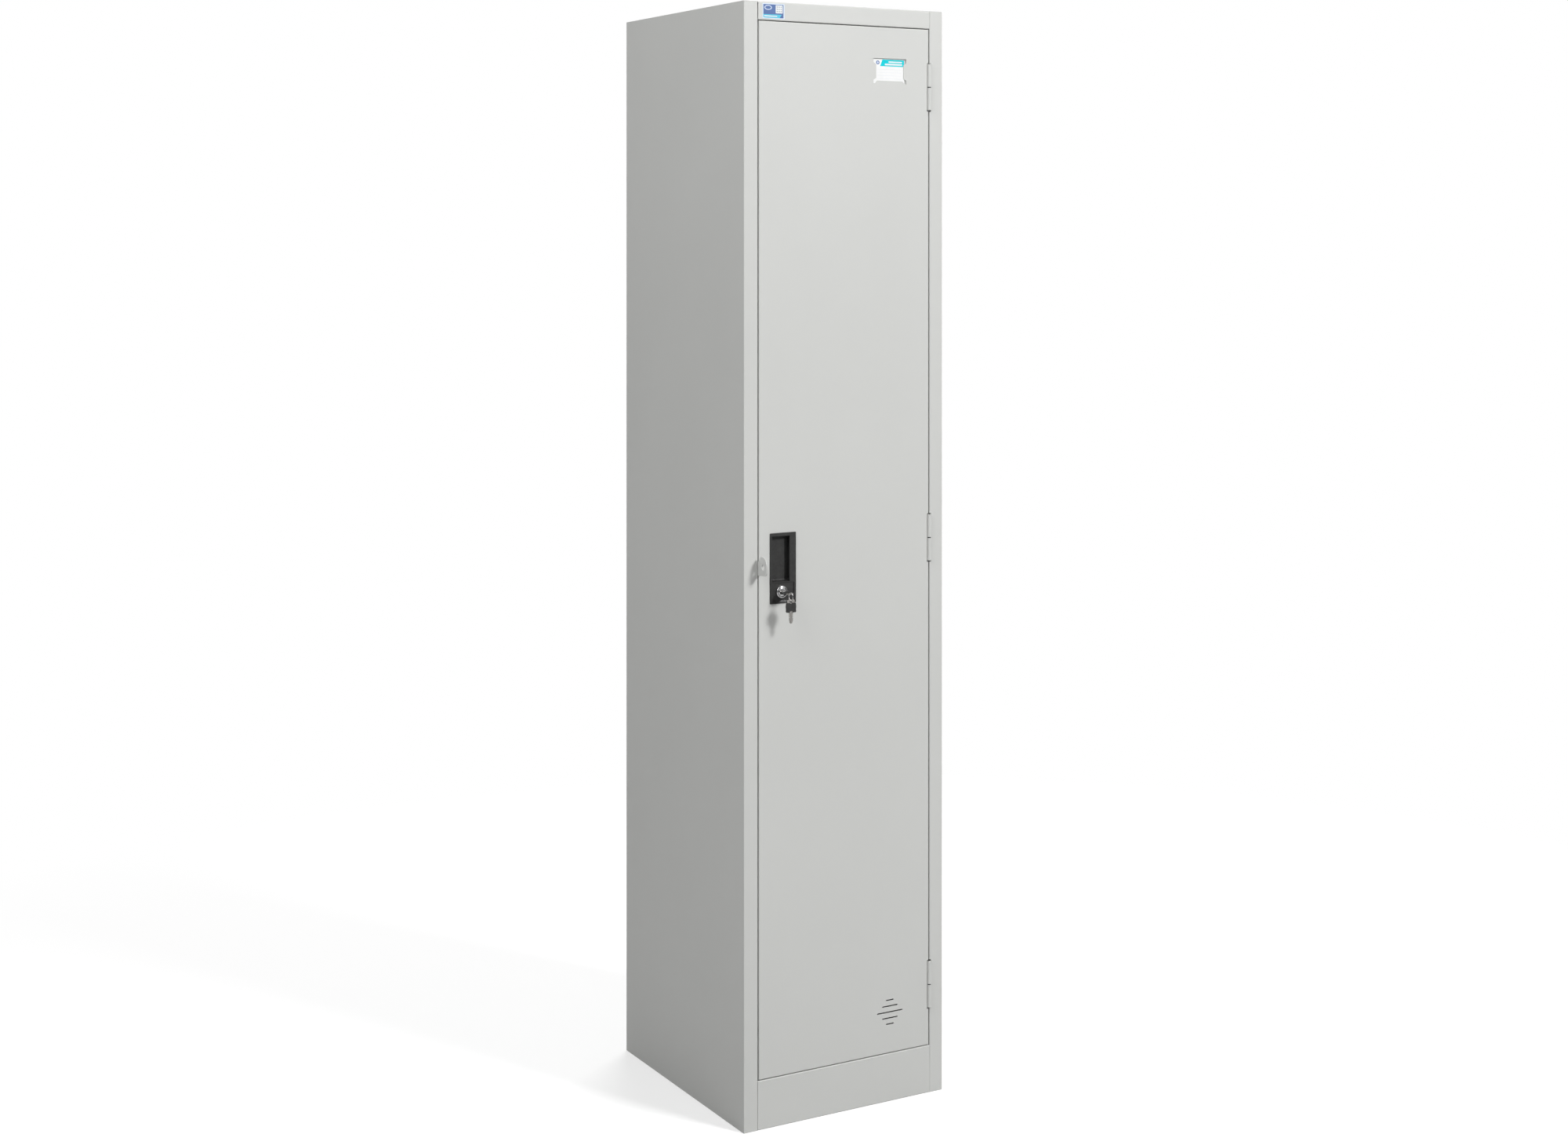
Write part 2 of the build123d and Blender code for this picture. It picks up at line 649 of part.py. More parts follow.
def bitting():
    """Notches cut in both edges of the blade, one pair per step."""
    cuts = []
    edge = BLADE_HALF + 0.1
    for step, depth in enumerate(BITTING_DEPTHS):
        y = SHOULDER_TO + 4.2 + BITTING_PITCH * step
        notch = make_face(Polyline((edge, y - 1.3), (BLADE_HALF - depth, y), (edge, y + 1.3), close=True))
        cuts += [notch, mirror(notch, Plane.YZ)]
    return cuts


def key_blank():
    """Steel of a key, flat in XY: eye at the origin, blade along +Y, bitting cut in both edges."""
    stem_from = 4.0
    flat = Pos(0, (stem_from + 1 - EYE_END) / 2) * RectangleRounded(EYE_WIDTH, stem_from + 1 + EYE_END, 2.2)
    flat += Pos(0, (stem_from + SHOULDER_TO) / 2) * Rectangle(STEM_WIDTH, SHOULDER_TO - stem_from)
    blade = Pos(0, (SHOULDER_TO + BLADE_TO) / 2) * Rectangle(2 * BLADE_HALF, BLADE_TO - SHOULDER_TO)
    blade = chamfer(blade.vertices().group_by(Axis.Y)[-1], 2.4)
    flat = flat + (blade - bitting()) - Circle(EYE_RADIUS)
    body = extrude(flat, BLANK / 2, both=True)
    skin = BLANK / 2 - BLADE_GROOVE
    along = (SHOULDER_TO, BLADE_TO + 1)
    return body - block((0.3, 1.5), along, (skin, BLANK)) - block((-1.5, -0.3), along, (-BLANK, -skin))


def key_grip():
    """Moulded grip over the middle of the blank, with a proud band notched where the blade leaves it."""
    side = [
        (GRIP_HALF - GRIP_WAIST, GRIP_FROM),
        (GRIP_HALF, GRIP_FROM + 6),
        (GRIP_HALF - GRIP_WAIST, GRIP_TO),
    ]
    outline = make_face(Polyline(*side, *[(-x, y) for x, y in reversed(side)], close=True))
    outline = fillet(outline.vertices(), 1.2)
    body = extrude(outline, GRIP_THICK / 2, both=True)
    rims = body.faces().filter_by(Axis.Z)
    body = chamfer([edge for face in rims for edge in face.edges()], 0.4)

    face = GRIP_THICK / 2
    proud = face + BAND_PROUD
    start = GRIP_TO - GRIP_BAND
    half_band = [(start - 0.7, face - 0.2), (start, proud), (GRIP_TO, proud)]
    section = make_face(Polyline(*half_band, *[(y, -z) for y, z in reversed(half_band)], close=True))
    band = extrude(Plane.YZ.offset(-GRIP_HALF) * section, 2 * GRIP_HALF)
    band &= extrude(outline, proud, both=True)
    notch = (0.4 - BLADE_HALF, BLADE_HALF - 0.4)
    notched = block(notch, (start + 0.5, GRIP_TO + 1), (-proud - 1, proud + 1))
    body = body + band - notched
    return body - Cylinder(EYE_RADIUS + 0.2, 2 * proud + 1) - key_blank()


def in_lock(piece):
    return Pos(LOCK_X, KEY_EYE_Y, LOCK_Z) * piece


def on_ring(piece):
    return Pos(LOCK_X, ring_y, spare_eye_z) * Rot(-90, 0, 0) * piece


def key_ring():
    return Pos(LOCK_X, ring_y, ring_z) * Rot(0, 90, 0) * Torus(RING_RADIUS, RING_WIRE)


nodes = {
    "left_side_panel": side_panel(),
    "right_side_panel": right_side_panel(),
    "back_panel": back_panel(),
    "top_panel": top_panel(),
    "floor_panel": floor_panel(),
    "kick_plate": kick_plate(),
    "hat_shelf": shelf(HAT_SHELF_Z),
    "shoe_shelf": shelf(SHOE_SHELF_Z),
    "coat_rail": coat_rail(),
    "left_rail_socket": rail_socket(-1),
    "right_rail_socket": rail_socket(1),
    "door_buffers": door_buffers(),
    "hinge_washers": hinge_washers(),
    "frame_padlock_ear": padlock_ear(-jamb_x + SEAM),
    "label_sticker": label_sticker(),
    "door_panel": door_panel(),
    "door_stiffener": door_stiffener(),
    "door_padlock_ear": padlock_ear(-door_half - SEAM - EAR_THICK),
    "card_pocket": card_pocket(),
    "name_card": name_card(),
    "pull_housing": pull_housing(),
    "lock_backplate": lock_backplate(),
    "lock_housing": lock_housing(),
    "lock_nut": lock_nut(),
    "lock_plug": lock_plug(),
    "lock_cam": lock_cam(),
    "cam_screw": cam_screw(),
    "key_blade": in_lock(key_blank()),
    "key_grip": in_lock(key_grip()),
    "key_ring": key_ring(),
    "spare_key_blade": on_ring(key_blank()),
    "spare_key_grip": on_ring(key_grip()),
}
for place, height in HINGE_HEIGHTS.items():
    nodes[f"{place}_frame_leaf"] = frame_leaf(height)
    nodes[f"{place}_door_leaf"] = door_leaf(height)
    nodes[f"{place}_hinge_pin"] = hinge_pin(height)

os.makedirs("parts", exist_ok=True)
for name, shape in nodes.items():
    export_step(shape, f"parts/{name}.step")
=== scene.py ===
"""School locker: materials, printed card and label, split key ring, studio and camera."""

import json
import math

import bmesh
import bpy
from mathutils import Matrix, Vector


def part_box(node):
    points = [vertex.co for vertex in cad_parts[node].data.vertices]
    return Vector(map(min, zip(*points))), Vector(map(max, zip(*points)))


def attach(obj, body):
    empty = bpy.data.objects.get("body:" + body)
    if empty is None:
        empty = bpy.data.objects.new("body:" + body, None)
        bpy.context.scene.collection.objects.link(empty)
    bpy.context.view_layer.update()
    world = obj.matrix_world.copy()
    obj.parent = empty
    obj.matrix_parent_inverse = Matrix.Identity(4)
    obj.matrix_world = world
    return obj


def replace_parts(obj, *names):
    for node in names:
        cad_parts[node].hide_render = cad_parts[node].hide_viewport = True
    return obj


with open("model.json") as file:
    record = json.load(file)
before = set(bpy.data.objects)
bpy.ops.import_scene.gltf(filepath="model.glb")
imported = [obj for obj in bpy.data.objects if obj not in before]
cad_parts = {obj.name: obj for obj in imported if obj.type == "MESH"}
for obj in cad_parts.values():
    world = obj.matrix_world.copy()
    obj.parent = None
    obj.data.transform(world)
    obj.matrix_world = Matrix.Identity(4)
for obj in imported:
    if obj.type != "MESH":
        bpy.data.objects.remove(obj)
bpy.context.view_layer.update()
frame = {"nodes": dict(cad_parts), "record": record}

MM = 0.001

# Colours, linear
COAT_DARK = (0.588, 0.594, 0.577)
COAT_LIGHT = (0.608, 0.614, 0.597)
COAT_FLECK = (0.42, 0.42, 0.41)
COAT_FLECK_SHARE = 0.10
PLASTIC_DARK = (0.018, 0.018, 0.0175)
PLASTIC_LIGHT = (0.032, 0.032, 0.031)
ZINC_DARK = (0.56, 0.57, 0.58)
ZINC_LIGHT = (0.70, 0.70, 0.69)
RUBBER_DARK = (0.018, 0.018, 0.018)
RUBBER_LIGHT = (0.040, 0.040, 0.040)
CARD_DARK = (0.80, 0.81, 0.81)
CARD_LIGHT = (0.88, 0.88, 0.88)
METAL_SHADE = 0.82
INK_SHADE = 0.88
FLOOR_GREY = (0.80, 0.80, 0.80)
CLEAR_WHITE = (1.0, 1.0, 1.0, 1.0)

# Studio
KEY_DIRECTION = (0.51, -1.0, 0.72)
KEY_DISTANCE = 5.0
KEY_SIZE = 1.3
KEY_POWER = 310.0
FILL_PLACE = (-2.6, -0.9, 3.3)
FILL_TARGET = (-0.19, 0.10, 1.2)
FILL_SIZE = 2.2
FILL_POWER = 62.0
REAR_PLACE = (2.3, 3.4, 2.9)
REAR_TARGET = (0.0, 0.45, 1.1)
REAR_SIZE = 2.6
REAR_POWER = 90.0
ROOM_LEVEL = 0.23
CEILING_LEVEL = 0.46
CEILING_HEIGHT = 0.9  # upward part of a direction at which the room reaches its ceiling level
FLOOR_SIZE = 30.0
FLOOR_LIFT = 0.35
FLOOR_BOUNCE = 0.45
FLOOR_FADE = (0.5, 2.4)  # metres from the origin over which the floor turns white

# Camera
CAMERA_HOME = (-1.9307, -3.3132, 1.4468)
CAMERA_HEADING = -30.95  # degrees; 0 looks along +Y
SENSOR_WIDTH = 36.0
FOCAL_LENGTH = 53.13
LENS_SHIFT = {"shift_x": -0.0578, "shift_y": -0.2100}  # shares of the picture's width
HOME_RADIUS = 0.05

# Printed pieces, in millimetres
PRINT_THICK = 0.03
CORNER_STEPS = 4
OVAL_STEPS = 32

CARD_EDGE = 0.2
CARD_BAND = 11.4
CARD_BAND_FOOT = 13.8  # where the band's slanted end starts at its lower edge
CARD_BAND_HEAD = 18.2
CARD_BARS = ((30, 2.9, 5.2, 0.8), (23, 6.9, 9.6, 0.9))  # from the left, from the top (two), corner
CARD_BAR_END = 4
CARD_BADGE = (9.2, 5.4)  # centre, from the card's left and top
CARD_LINES = 4
CARD_LINE_START = 9
CARD_LINE_END = 6
CARD_LINE_GAP = 5.4  # from the band to the first line
CARD_LINE_STEP = 5.2
CARD_LINE_THICK = 0.3

LABEL_EDGE = 1.6
LABEL_RIGHT_EDGE = 2.2
LABEL_BAND = 7.2  # top of the band above the label's lower edge
LABEL_BAND_FOOT = 9.5  # where the band's slanted end starts, from the label's right
LABEL_BAND_HEAD = 5.5
LABEL_BAR_START = 1.5
LABEL_BAR_END = 14
LABEL_BAR = (1.9, 3.6)  # from the band's lower edge
LABEL_BADGE = (10.4, 6.8)  # centre, from the label's left and top
LABEL_PANEL = 13.0
LABEL_PANEL_INSET = (1.5, 1.0)  # from the blue field's right and top
LABEL_DOTS = 3
LABEL_DOT_FIRST = 0.22  # share of the panel's side
LABEL_DOT_STEP = 0.28
LABEL_DOT_RADIUS = 1.1

# Split ring
RING_TURNS = 2.12
RING_START = 40.0  # degrees
RING_STEPS = 150
WIRE_CORNERS = 8
WIRE_WIDTH = 0.48  # width of one turn's wire, as a share of the plain ring's wire
WIRE_DEPTH = 0.98  # depth of the wire, as a share of the plain ring's wire
WIRE_TIP = 0.35  # width left at the wire's two ends
WIRE_TAPER = 6  # share of the width gained per turn, from each end


# Shader helpers

class Shader:
    """A Principled material. A value for any input is a number, a colour or another node's output."""

    MIX_FIRST, MIX_SECOND, MIX_RESULT = 6, 7, 2  # a Mix node's colour sockets, whose names repeat

    def __init__(self, name):
        self.material = bpy.data.materials.new(name)
        self.material.use_nodes = True
        self.tree = self.material.node_tree
        self.surface = self.tree.nodes["Principled BSDF"]
        self.where = self.add("ShaderNodeTexCoord").outputs["Object"]

    def add(self, kind, **settings):
        node = self.tree.nodes.new(kind)
        for key, value in settings.items():
            if hasattr(node, key):
                setattr(node, key, value)
            else:
                self.put(node.inputs[key.replace("_", " ")], value)
        return node

    def put(self, socket, value):
        if isinstance(value, bpy.types.NodeSocket):
            self.tree.links.new(value, socket)
        else:
            socket.default_value = value

    def set(self, **values):
        for key, value in values.items():
            self.put(self.surface.inputs[key.replace("_", " ")], value)
        return self

    def math(self, operation, *values):
        node = self.add("ShaderNodeMath", operation=operation)
        for socket, value in zip(node.inputs, values):
            self.put(socket, value)
        return node.outputs[0]

    def stretched(self, x, y, z):
        node = self.add("ShaderNodeMapping")
        self.put(node.inputs["Vector"], self.where)
        node.inputs["Scale"].default_value = (x, y, z)
        return node.outputs["Vector"]

    def noise(self, scale, detail=3.0, roughness=0.5, vector=None):
        """Noise of about 0 to 1, with features about 1/scale metres across."""
        node = self.add("ShaderNodeTexNoise", Scale=scale, Detail=detail, Roughness=roughness)
        self.put(node.inputs["Vector"], vector or self.where)
        return node.outputs[0]

    def cells(self, scale):
        node = self.add("ShaderNodeTexVoronoi", Scale=scale)
        self.put(node.inputs["Vector"], self.where)
        return node.outputs["Distance"]

    def spread(self, value, low, high, start=0.3, end=0.7):
        """value from start..end becomes low..high, clamped."""
        node = self.add("ShaderNodeMapRange")
        for socket, number in zip(node.inputs, (value, start, end, low, high)):
            self.put(socket, number)
        return node.outputs[0]

    def tint(self, factor, first, second):
        """A mix of two colours, each an (r, g, b) or another node's colour."""
        node = self.add("ShaderNodeMix", data_type="RGBA")
        self.put(node.inputs["Factor"], factor)
        for place, colour in ((self.MIX_FIRST, first), (self.MIX_SECOND, second)):
            if isinstance(colour, tuple):
                colour = (*colour, 1.0)
            self.put(node.inputs[place], colour)
        return node.outputs[self.MIX_RESULT]

    def bumps(self, *layers):
        """Bump layers of (height, strength, distance in millimetres), each on top of the one before."""
        normal = None
        for height, strength, distance in layers:
            node = self.add("ShaderNodeBump", Strength=strength, Distance=distance * MM, Height=height)
            if normal is not None:
                self.put(node.inputs["Normal"], normal)
            normal = node.outputs["Normal"]
        return self.set(Normal=normal)


def shade(colour, share):
    return tuple(share * channel for channel in colour)


def mix_shaders(tree, factor, first, second, output):
    """Joins two shaders to output: first where factor is 0, second where it is 1."""
    mix = tree.nodes.new("ShaderNodeMixShader")
    for socket, source in zip(mix.inputs, (factor, first, second)):
        tree.links.new(source, socket)
    tree.links.new(mix.outputs["Shader"], output)


# Materials

def powder_coat():
    """Light grey textured paint with fine flecks and a slightly uneven sheen."""
    s = Shader("powder_coat")
    tone = s.spread(s.noise(2.2, 4.0), 0.0, 1.0)
    speck = s.spread(s.noise(2600.0, 1.0), 0.0, 1.0, 0.62, 0.75)
    base = s.tint(tone, COAT_DARK, COAT_LIGHT)
    s.set(Base_Color=s.tint(s.math("MULTIPLY", speck, COAT_FLECK_SHARE), base, COAT_FLECK))
    wiped = s.spread(s.noise(9.0, 5.0, 0.6, s.stretched(1.0, 1.0, 0.35)), 0.40, 0.50)
    s.set(Roughness=wiped, Specular_IOR_Level=0.45)
    orange_peel = s.noise(420.0, 2.0, 0.4)
    grit = s.noise(1500.0, 2.0, 0.5)
    return s.bumps((orange_peel, 0.10, 0.10), (grit, 0.07, 0.05)).material


def black_plastic():
    """Moulded plastic with a fine grain and faint upright scratches."""
    s = Shader("black_plastic")
    tone = s.spread(s.noise(120.0, 5.0, 0.65), 0.0, 1.0)
    s.set(Base_Color=s.tint(tone, PLASTIC_DARK, PLASTIC_LIGHT))
    s.set(Roughness=s.spread(s.noise(260.0, 4.0), 0.38, 0.62), Specular_IOR_Level=0.5)
    scratches = s.noise(240.0, 3.0, 0.7, s.stretched(1.0, 1.0, 0.06))
    grain = s.noise(1800.0, 2.0)
    return s.bumps((grain, 0.25, 0.06), (scratches, 0.08, 0.05)).material


def metal(name, colour, roughness, grain_scale, grain_stretch, grain):
    """Bare or plated metal with a directional grain."""
    s = Shader(name)
    lines = s.noise(grain_scale, 4.0, 0.6, s.stretched(*grain_stretch))
    cloud = s.spread(s.noise(90.0, 4.0), 0.0, 1.0)
    s.set(Base_Color=s.tint(cloud, shade(colour, METAL_SHADE), colour), Metallic=1.0)
    s.set(Roughness=s.spread(lines, roughness * 0.75, roughness * 1.3))
    return s.bumps((lines, grain, 0.04)).material


def zinc_plate():
    """Bright zinc with its faint spangle."""
    s = Shader("zinc_plate")
    spangle = s.spread(s.cells(420.0), 0.0, 1.0, 0.0, 0.8)
    s.set(Base_Color=s.tint(spangle, ZINC_DARK, ZINC_LIGHT))
    s.set(Metallic=1.0, Roughness=s.spread(s.noise(300.0, 4.0), 0.24, 0.40))
    return s.bumps((s.noise(700.0, 3.0), 0.10, 0.05)).material


def rubber():
    s = Shader("rubber")
    s.set(Base_Color=s.tint(s.noise(300.0), RUBBER_DARK, RUBBER_LIGHT), Roughness=0.85)
    return s.bumps((s.noise(1500.0, 2.0), 0.3, 0.08)).material


def card_stock():
    s = Shader("card_stock")
    s.set(Base_Color=s.tint(s.noise(150.0, 5.0), CARD_DARK, CARD_LIGHT), Roughness=0.6)
    return s.bumps((s.noise(2500.0, 3.0), 0.15, 0.03)).material


def ink(name, colour):
    """Printed colour on card or film, slightly uneven."""
    s = Shader(name)
    tone = s.tint(s.noise(400.0, 4.0), shade(colour, INK_SHADE), colour)
    s.set(Base_Color=tone, Roughness=0.35, Specular_IOR_Level=0.15)
    return s.bumps((s.noise(1600.0, 2.0), 0.05, 0.02)).material


PAINT = powder_coat()
PLASTIC = black_plastic()
CHROME = metal("chrome", (0.86, 0.86, 0.87), 0.16, 900.0, (1.0, 1.0, 1.0), 0.03)
NICKEL = metal("key_nickel", (0.62, 0.60, 0.57), 0.26, 700.0, (1.0, 0.08, 0.08), 0.10)
TUBE = metal("plated_tube", (0.68, 0.69, 0.70), 0.22, 500.0, (0.03, 1.0, 1.0), 0.08)
ZINC = zinc_plate()
RUBBER = rubber()
CARD = card_stock()
FILM = ink("label_film", (0.72, 0.80, 0.90))
NAVY = ink("ink_blue", (0.125, 0.200, 0.42))
CYAN = ink("ink_cyan", (0.13, 0.58, 0.77))
TEAL = ink("ink_teal", (0.006, 0.63, 0.71))
PALE = ink("ink_pale", (0.62, 0.70, 0.86))
WHITE = ink("ink_white", (0.84, 0.86, 0.88))
GREY = ink("ink_grey", (0.42, 0.45, 0.48))
FAINT = ink("ink_faint", (0.74, 0.77, 0.82))

FINISH = {
    "powder_coat": PAINT,
    "black_plastic": PLASTIC,
    "chrome": CHROME,
    "zinc_steel": ZINC,
    "key_steel": NICKEL,
    "rubber": RUBBER,
    "card": CARD,
    "label": FILM,
}


def finish_cad_nodes():
    """Gives each CAD node its slot's material, and the coat rail a tube finish of its own."""
    for row in frame["record"]["subparts"]:
        node = frame["nodes"][row["node"]]
        node.data.materials.clear()
        node.data.materials.append(FINISH[row["material_slot"]])
    frame["nodes"]["coat_rail"].data.materials[0] = TUBE


# Pieces made here

def show(name, data):
    made = bpy.data.objects.new(name, data)
    bpy.context.scene.collection.objects.link(made)
    return made


def piece(name, mesh, materials, body, smooth=False):
    data = bpy.data.meshes.new(name)
    bmesh.ops.recalc_face_normals(mesh, faces=mesh.faces[:])
    mesh.to_mesh(data)
    mesh.free()
    for material in materials:
        data.materials.append(material)
    for face in data.polygons:
        face.use_smooth = smooth
    made = show(name, data)
    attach(made, body)
    return made


class Print:
    """Flat shapes on a plane that faces -Y, gathered into one mesh of thin slabs."""

    def __init__(self, name, y, materials):
        self.name = name
        self.y = y
        self.materials = materials
        self.mesh = bmesh.new()

    def shape(self, points, material, layer=1):
        """A slab whose outline is in millimetres; each layer stands on the one below."""
        front = self.y - layer * PRINT_THICK * MM
        back = front + PRINT_THICK * MM
        rings = [[self.mesh.verts.new((x * MM, y, z * MM)) for x, z in points] for y in (front, back)]
        faces = [self.mesh.faces.new(rings[0]), self.mesh.faces.new(rings[1][::-1])]
        count = len(points)
        for i in range(count):
            j = (i + 1) % count
            faces.append(self.mesh.faces.new((rings[0][i], rings[1][i], rings[1][j], rings[0][j])))
        for face in faces:
            face.material_index = self.materials.index(material)

    def bar(self, x, z, material, layer=1, corner=0.3):
        """A rectangle with rounded corners, from (low, high) pairs."""
        points = []
        for cx, cz, start in (
            (x[1] - corner, z[1] - corner, 0),
            (x[0] + corner, z[1] - corner, 90),
            (x[0] + corner, z[0] + corner, 180),
            (x[1] - corner, z[0] + corner, 270),
        ):
            for step in range(CORNER_STEPS):
                angle = math.radians(start + 90 / (CORNER_STEPS - 1) * step)
                points.append((cx + corner * math.cos(angle), cz + corner * math.sin(angle)))
        self.shape(points, material, layer)

    def oval(self, x, z, half_width, half_height, material, layer=1):
        turn = [2 * math.pi * i / OVAL_STEPS for i in range(OVAL_STEPS)]
        points = [(x + half_width * math.cos(a), z + half_height * math.sin(a)) for a in turn]
        self.shape(points, material, layer)

    def badge(self, x, z, rim, middle, materials, layer=1):
        """One oval on another; rim and middle are their (half width, half height)."""
        self.oval(x, z, *rim, materials[0], layer)
        self.oval(x, z, *middle, materials[1], layer + 1)

    def done(self, body):
        return piece(self.name, self.mesh, self.materials, body)


def card_print():
    """Header band with a slanted end, two plain bars, a plain badge and ruled lines to write on."""
    low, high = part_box("name_card")
    left, right = low.x / MM, high.x / MM
    top = high.z / MM
    band_foot = top - CARD_BAND
    band_head = top - CARD_EDGE
    p = Print("card_print", low.y, [TEAL, WHITE, NAVY, PALE, FAINT])
    band = [
        (left + CARD_BAND_FOOT, band_foot),
        (right - CARD_EDGE, band_foot),
        (right - CARD_EDGE, band_head),
        (left + CARD_BAND_HEAD, band_head),
    ]
    p.shape(band, TEAL)
    for start, head, foot, corner in CARD_BARS:
        p.bar((left + start, right - CARD_BAR_END), (top - foot, top - head), WHITE, 2, corner)
    p.badge(left + CARD_BADGE[0], top - CARD_BADGE[1], (3.5, 3.2), (1.9, 1.7), (NAVY, PALE))
    for line in range(CARD_LINES):
        z = top - CARD_BAND - CARD_LINE_GAP - CARD_LINE_STEP * line
        ends = (left + CARD_LINE_START, right - CARD_LINE_END)
        p.bar(ends, (z, z + CARD_LINE_THICK), FAINT, 1, 0.1)
    return p.done("door")


def label_print():
    """Blue field, pale badge, light panel of dots, and a cyan band with a slanted end and a light bar."""
    low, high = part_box("label_sticker")
    left = low.x / MM + LABEL_EDGE
    right = high.x / MM
    bottom = low.z / MM + LABEL_EDGE
    top = high.z / MM
    p = Print("label_print", low.y, [NAVY, CYAN, PALE, WHITE, GREY])
    p.bar((left, right - LABEL_RIGHT_EDGE), (bottom, top - LABEL_EDGE), NAVY, 1, 0.4)
    band_top = low.z / MM + LABEL_BAND
    band = [
        (left, bottom),
        (right - LABEL_BAND_FOOT, bottom),
        (right - LABEL_BAND_HEAD, band_top),
        (left, band_top),
    ]
    p.shape(band, CYAN, 2)
    badge_x = low.x / MM + LABEL_BADGE[0]
    p.badge(badge_x, top - LABEL_BADGE[1], (7.0, 4.0), (5.2, 2.6), (PALE, NAVY), 2)
    bar_height = (bottom + LABEL_BAR[0], bottom + LABEL_BAR[1])
    p.bar((left + LABEL_BAR_START, right - LABEL_BAR_END), bar_height, WHITE, 3, 0.6)
    panel_x = right - LABEL_RIGHT_EDGE - LABEL_PANEL_INSET[0] - LABEL_PANEL
    panel_z = top - LABEL_EDGE - LABEL_PANEL_INSET[1] - LABEL_PANEL
    p.bar((panel_x, panel_x + LABEL_PANEL), (panel_z, panel_z + LABEL_PANEL), WHITE, 2, 0.5)
    places = [LABEL_PANEL * (LABEL_DOT_FIRST + LABEL_DOT_STEP * i) for i in range(LABEL_DOTS)]
    for across in places:
        for up in places:
            p.oval(panel_x + across, panel_z + up, LABEL_DOT_RADIUS, LABEL_DOT_RADIUS, GREY, 3)
    return p.done("cabinet")


def split_ring():
    """Two close turns of flat wire whose ends lap, in place of the plain ring."""
    low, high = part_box("key_ring")
    centre = (low + high) / 2
    half_wire = (high.x - low.x) / 2
    radius = (high.y - low.y) / 2 - half_wire
    half_turn = WIRE_WIDTH * half_wire
    mesh = bmesh.new()
    rings = []
    for step in range(RING_STEPS + 1):
        turn = RING_TURNS * step / RING_STEPS
        angle = math.radians(RING_START) + 2 * math.pi * turn
        out = Vector((0, math.cos(angle), math.sin(angle)))
        sideways = 2 * half_turn * max(-0.5, min(0.5, turn - RING_TURNS / 2))
        taper = min(1.0, WIRE_TIP + WIRE_TAPER * min(turn, RING_TURNS - turn))
        ring = []
        for corner in range(WIRE_CORNERS):
            bearing = 2 * math.pi * (corner + 0.5) / WIRE_CORNERS
            x = sideways + half_turn * taper * math.cos(bearing)
            reach = radius + WIRE_DEPTH * half_wire * math.sin(bearing)
            ring.append(mesh.verts.new(centre + Vector((x, 0, 0)) + reach * out))
        rings.append(ring)
    for first, second in zip(rings, rings[1:]):
        for corner in range(WIRE_CORNERS):
            after = (corner + 1) % WIRE_CORNERS
            mesh.faces.new((first[corner], first[after], second[after], second[corner]))
    mesh.faces.new(rings[0][::-1])
    mesh.faces.new(rings[-1])
    made = piece("split_ring", mesh, [CHROME], "key_ring", True)
    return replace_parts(made, "key_ring")


# Studio

def floor():
    """Plain pale floor that keeps the object's soft shadow and fades to the white backdrop further out."""
    mesh = bmesh.new()
    bmesh.ops.create_grid(mesh, x_segments=8, y_segments=8, size=FLOOR_SIZE)
    data = bpy.data.meshes.new("floor")
    mesh.to_mesh(data)
    mesh.free()
    s = Shader("studio_floor")
    seen = s.add("ShaderNodeLightPath").outputs["Is Camera Ray"]
    paint = s.tint(seen, 3 * (FLOOR_BOUNCE,), FLOOR_GREY)
    away = s.add("ShaderNodeVectorMath", operation="LENGTH")
    s.put(away.inputs[0], s.where)
    far = s.math("MULTIPLY", seen, s.spread(away.outputs["Value"], 0.0, 1.0, *FLOOR_FADE))
    lift = s.math("MULTIPLY", seen, FLOOR_LIFT)
    s.set(Base_Color=paint, Roughness=0.9, Specular_IOR_Level=0.1)
    s.set(Emission_Color=CLEAR_WHITE, Emission_Strength=lift)
    white = s.add("ShaderNodeEmission", Strength=1.0)
    output = s.tree.nodes["Material Output"].inputs["Surface"]
    mix_shaders(s.tree, far, s.surface.outputs["BSDF"], white.outputs["Emission"], output)
    data.materials.append(s.material)
    show("floor", data)


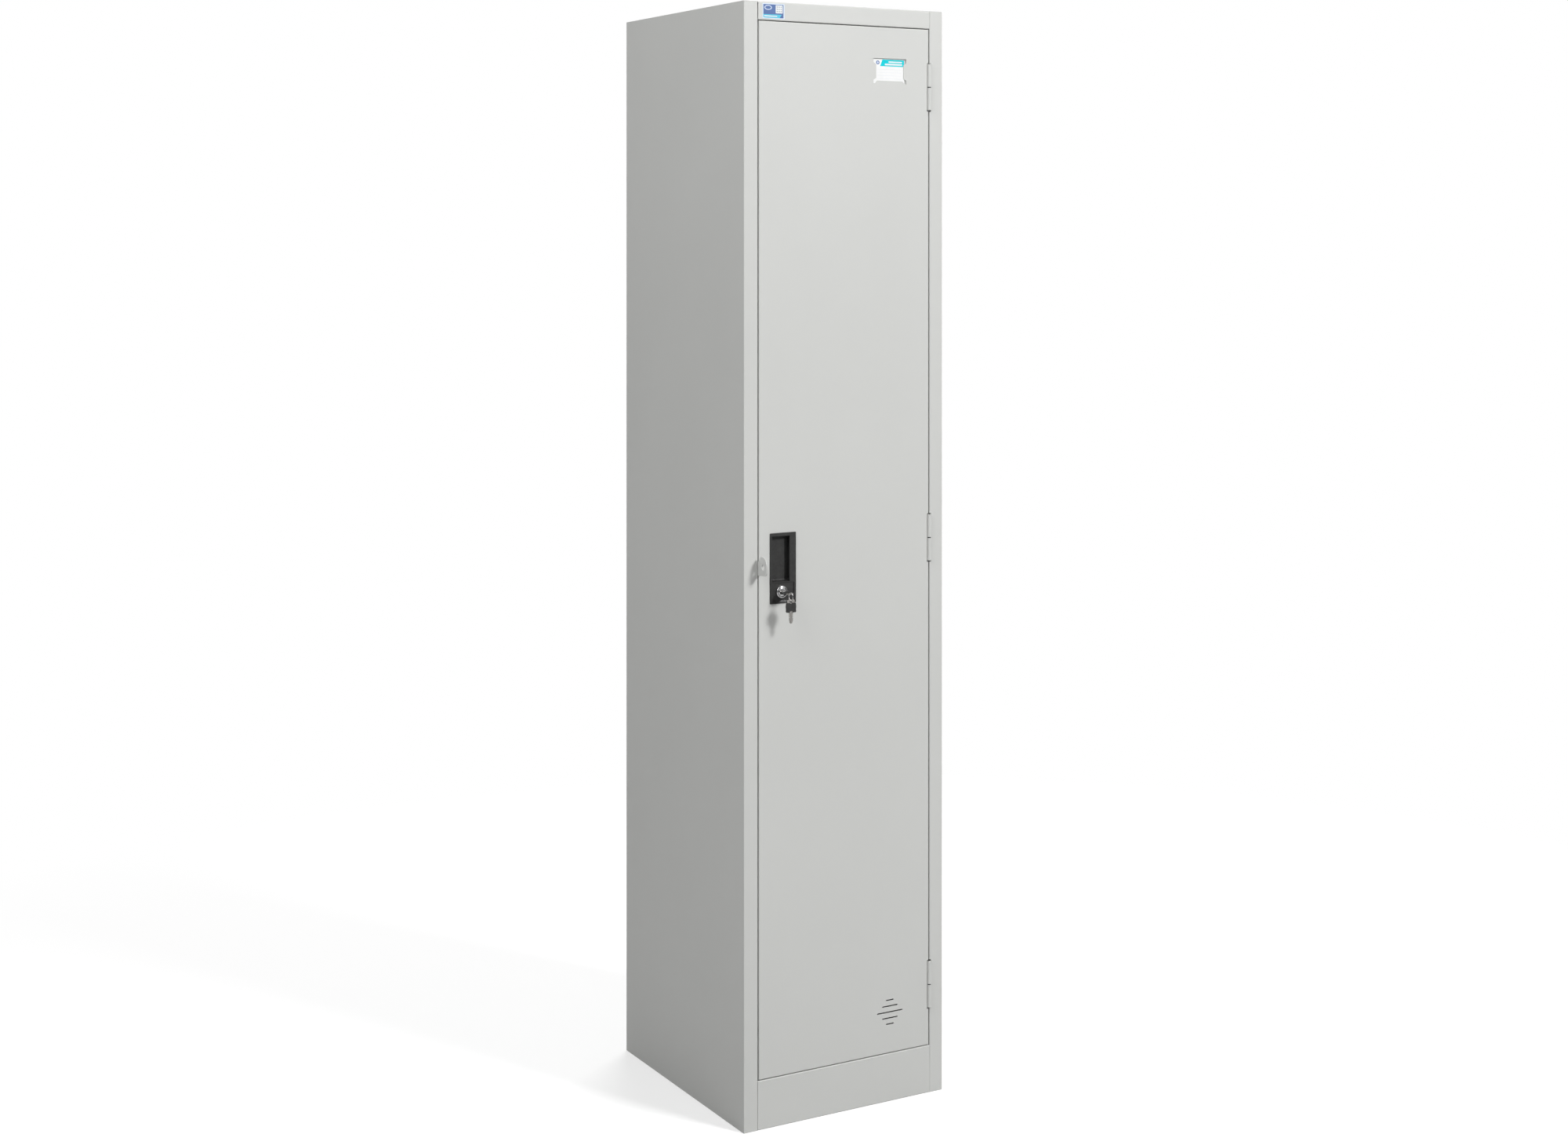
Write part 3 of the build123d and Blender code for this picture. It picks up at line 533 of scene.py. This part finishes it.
def backdrop():
    """White to the camera; to everything else a pale room, dimmer at the horizon than overhead."""
    world = bpy.data.worlds.new("studio")
    bpy.context.scene.world = world
    world.use_nodes = True
    tree = world.node_tree
    white = tree.nodes["Background"]
    white.inputs["Color"].default_value = CLEAR_WHITE
    room = tree.nodes.new("ShaderNodeBackground")
    where = tree.nodes.new("ShaderNodeTexCoord")
    split = tree.nodes.new("ShaderNodeSeparateXYZ")
    height = tree.nodes.new("ShaderNodeMapRange")
    seen = tree.nodes.new("ShaderNodeLightPath")
    height.inputs["From Min"].default_value = 0.0
    height.inputs["From Max"].default_value = CEILING_HEIGHT
    height.inputs["To Min"].default_value = ROOM_LEVEL
    height.inputs["To Max"].default_value = CEILING_LEVEL
    tree.links.new(where.outputs["Generated"], split.inputs["Vector"])
    tree.links.new(split.outputs["Z"], height.inputs["Value"])
    tree.links.new(height.outputs["Result"], room.inputs["Strength"])
    mix_shaders(
        tree,
        seen.outputs["Is Camera Ray"],
        room.outputs["Background"],
        white.outputs["Background"],
        tree.nodes["World Output"].inputs["Surface"],
    )


def softbox(name, place, target, size, power):
    light = bpy.data.lights.new(name, "AREA")
    light.shape = "SQUARE"
    light.size = size
    light.energy = power
    lamp = show(name, light)
    lamp.location = place
    lamp.rotation_euler = (Vector(target) - Vector(place)).to_track_quat("-Z", "Y").to_euler()


def studio():
    """Soft key light high in front on the right, broad fills high on the left and behind, and a pale room."""
    backdrop()
    lock_low, lock_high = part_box("lock_housing")
    lock = (lock_low + lock_high) / 2
    softbox("key_softbox", lock + KEY_DISTANCE * Vector(KEY_DIRECTION), lock, KEY_SIZE, KEY_POWER)
    softbox("fill_softbox", FILL_PLACE, FILL_TARGET, FILL_SIZE, FILL_POWER)
    softbox("rear_softbox", REAR_PLACE, REAR_TARGET, REAR_SIZE, REAR_POWER)
    bpy.context.scene.view_settings.view_transform = "Standard"


def keep_at_home(lens, setting, amount, eye, home):
    """A lens setting of amount while the eye is within HOME_RADIUS of home, and of 0 anywhere else."""
    curve = lens.driver_add(setting)
    for modifier in list(curve.modifiers):
        curve.modifiers.remove(modifier)
    for distance, value in ((0.0, amount), (HOME_RADIUS, 0.0)):
        curve.keyframe_points.insert(distance, value).interpolation = "CONSTANT"
    curve.driver.type = "AVERAGE"
    away = curve.driver.variables.new()
    away.type = "LOC_DIFF"
    away.targets[0].id = eye
    away.targets[1].id = home


def camera():
    """Level camera to the front left at chest height, with a shifted lens, so that uprights stay upright.

    The shift belongs to this place. Anywhere else it would push the object off centre, so there it is 0.
    """
    lens = bpy.data.cameras.new("camera")
    lens.sensor_width = SENSOR_WIDTH
    lens.lens = FOCAL_LENGTH
    eye = show("camera", lens)
    eye.location = CAMERA_HOME
    eye.rotation_euler = (math.radians(90), 0, math.radians(CAMERA_HEADING))
    bpy.context.scene.camera = eye
    home = show("camera_home", None)
    home.location = CAMERA_HOME
    for setting, amount in LENS_SHIFT.items():
        keep_at_home(lens, setting, amount, eye, home)


finish_cad_nodes()
card_print()
label_print()
split_ring()
floor()
studio()
camera()
